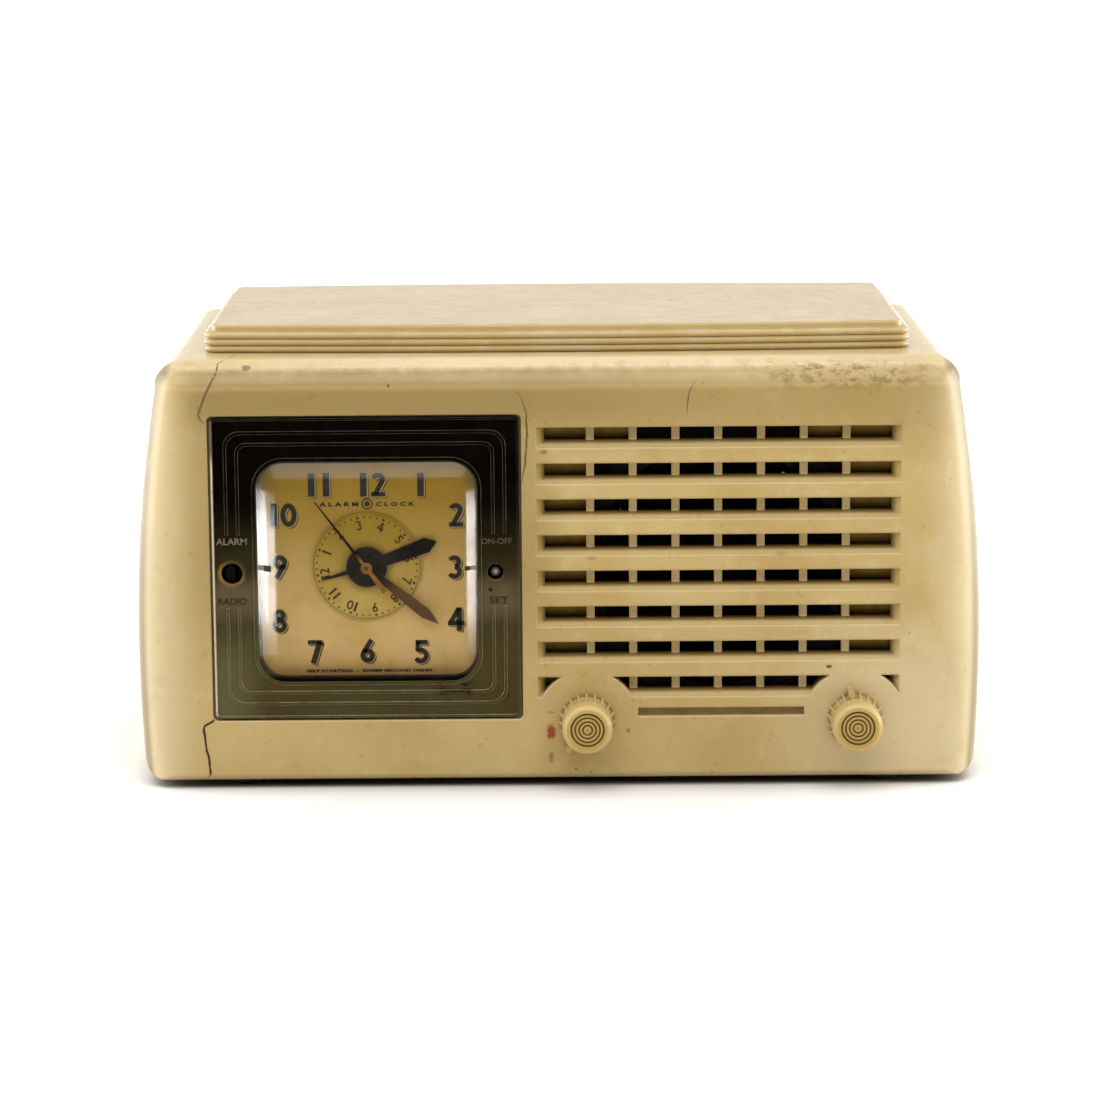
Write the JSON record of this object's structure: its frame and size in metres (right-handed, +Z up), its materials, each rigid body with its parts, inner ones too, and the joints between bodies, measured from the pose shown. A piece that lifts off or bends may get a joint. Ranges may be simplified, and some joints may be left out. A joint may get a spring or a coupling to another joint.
{
  "type": "table clock radio",
  "caption": "Moulded ivory mantel radio with a square alarm clock, louvred speaker grille, stepped top panel and volume and tuning knobs.",
  "frame": {"origin": "middle of the base of the bounding box, on the surface that the feet stand on", "axes": "+Z up, +X to the right as seen from the front, the clock face and grille face -Y"},
  "size_m": [0.3152, 0.1806, 0.1712],
  "materials": {
    "ivory_urea": "aged ivory urea moulding, semi-gloss",
    "knob_ivory": "aged ivory moulding, semi-gloss",
    "foot_rubber": "moulded rubber",
    "bezel_bronze": "darkened bronze plate with rubbed edges",
    "plated_steel": "zinc plated, dulled",
    "dark_steel": "dark steel",
    "chassis_steel": "cadmium plated sheet",
    "crystal": "clear moulded crystal",
    "gasket_card": "pressed card",
    "dial_paint": "aged cream dial paint",
    "alarm_paint": "aged cream-yellow paint",
    "hand_black": "dark enamel",
    "hand_bronze": "bronzed",
    "hand_sweep": "dark enamel with brass hub",
    "clock_brass": "clock brass",
    "coil_wrap": "varnished tape over a coil",
    "copper_can": "drawn copper can",
    "phenolic": "brown phenolic sheet",
    "aluminium_shaft": "machined",
    "aluminium_vane": "stamped sheet",
    "aluminium_can": "drawn can",
    "baffle_board": "grey-green fibreboard",
    "cone_paper": "pressed felted paper",
    "tube_glass": "clear glass",
    "wax_paper": "waxed paper tube",
    "hardboard": "tempered hardboard",
    "loop_card": "wound loop on card"
  },
  "bodies": {
    "case": {"cabinet": "ivory_urea", "feet": "foot_rubber", "clock_bezel": "bezel_bronze", "bezel_nuts": "plated_steel", "clock_crystal": "crystal", "crystal_gasket": "gasket_card", "clock_dial": "dial_paint", "movement_front_plate": "clock_brass", "movement_back_plate": "clock_brass", "movement_pillars": "plated_steel", "motor_laminations": "dark_steel", "motor_coil": "coil_wrap", "motor_rotor_case": "copper_can", "alarm_switch": "phenolic", "volume_control": "plated_steel", "volume_nut": "plated_steel", "gang_stator": "aluminium_vane", "gang_frame": "plated_steel", "baffle_board": "baffle_board", "baffle_screws": "plated_steel", "speaker_basket": "plated_steel", "speaker_surround": "cone_paper", "speaker_magnet": "dark_steel", "output_transformer": "dark_steel", "chassis_pan": "chassis_steel", "chassis_screws": "plated_steel", "tube_sockets": "phenolic", "converter_tube": "tube_glass", "if_amplifier_tube": "tube_glass", "detector_tube": "tube_glass", "output_tube": "tube_glass", "rectifier_tube": "tube_glass", "if_transformer_cans": "aluminium_can", "filter_capacitor": "aluminium_can", "terminal_strips": "phenolic", "resistors": "phenolic", "paper_capacitors": "wax_paper", "back_cover": "hardboard", "back_cover_screws": "plated_steel", "cord_grommet": "foot_rubber", "loop_antenna": "loop_card"},
    "volume": {"volume_knob": "knob_ivory", "volume_shaft": "aluminium_shaft"},
    "tuning": {"tuning_knob": "knob_ivory", "tuning_shaft": "plated_steel", "gang_rotor": "aluminium_vane"},
    "hour": {"hour_hand": "hand_black", "hour_wheel": "clock_brass"},
    "alarm": {"alarm_disc": "alarm_paint"},
    "minute": {"minute_hand": "hand_bronze", "cannon_pinion": "clock_brass"},
    "motion": {"motion_wheel": "clock_brass"},
    "idler": {"set_idler": "clock_brass"},
    "setting": {"set_shaft": "plated_steel"},
    "sweep": {"second_hand": "hand_sweep", "seconds_wheel": "clock_brass"},
    "motor": {"motor_pinion": "clock_brass"},
    "selector": {"selector_shaft": "dark_steel"},
    "cone": {"speaker_cone": "cone_paper"}
  },
  "joints": [
    {"name": "volume_turn", "type": "hinge", "parent": "case", "child": "volume", "pos_m": [0.0103, -0.07375, 0.0252], "axis": [0, 1, 0], "range_deg": [0, 290]},
    {"name": "tuning_turn", "type": "hinge", "parent": "case", "child": "tuning", "pos_m": [0.1103, -0.07375, 0.0252], "axis": [0, 1, 0], "range_deg": [-82, 98]},
    {"name": "minute_turn", "type": "hinge", "parent": "case", "child": "minute", "pos_m": [-0.0713, -0.07075, 0.0834], "axis": [0, 1, 0], "continuous": true},
    {"name": "hour_turn", "type": "hinge", "parent": "case", "child": "hour", "pos_m": [-0.0713, -0.06975, 0.0834], "axis": [0, 1, 0], "continuous": true},
    {"name": "motion_turn", "type": "hinge", "parent": "case", "child": "motion", "pos_m": [-0.0713, -0.06175, 0.0684], "axis": [0, 1, 0], "continuous": true},
    {"name": "idler_turn", "type": "hinge", "parent": "case", "child": "idler", "pos_m": [-0.04731, -0.05805, 0.084], "axis": [0, 1, 0], "continuous": true},
    {"name": "setting_turn", "type": "hinge", "parent": "case", "child": "setting", "pos_m": [-0.0234, -0.06375, 0.0819], "axis": [0, 1, 0], "continuous": true},
    {"name": "alarm_set", "type": "hinge", "parent": "hour", "child": "alarm", "pos_m": [-0.0713, -0.06855, 0.0834], "axis": [0, 1, 0], "continuous": true},
    {"name": "sweep_turn", "type": "hinge", "parent": "case", "child": "sweep", "pos_m": [-0.0713, -0.07215, 0.0834], "axis": [0, 1, 0], "continuous": true},
    {"name": "motor_turn", "type": "hinge", "parent": "case", "child": "motor", "pos_m": [-0.08693, -0.04775, 0.07611], "axis": [0, 1, 0], "continuous": true},
    {"name": "selector_turn", "type": "hinge", "parent": "case", "child": "selector", "pos_m": [-0.1212, -0.06375, 0.0819], "axis": [0, 1, 0], "range_deg": [-35, 35]},
    {"name": "cone_travel", "type": "slide", "parent": "case", "child": "cone", "axis": [0, 1, 0], "range_m": [-0.0006, 0.0006], "stiffness_N_per_m": 1200}
  ],
  "couplings": [
    {"joint": "motion_turn", "follows": "minute_turn", "ratio": -0.33333},
    {"joint": "hour_turn", "follows": "minute_turn", "ratio": 0.083333},
    {"joint": "idler_turn", "follows": "minute_turn", "ratio": -0.66667},
    {"joint": "setting_turn", "follows": "minute_turn", "ratio": 1},
    {"joint": "motor_turn", "follows": "sweep_turn", "ratio": -3.6}
  ]
}
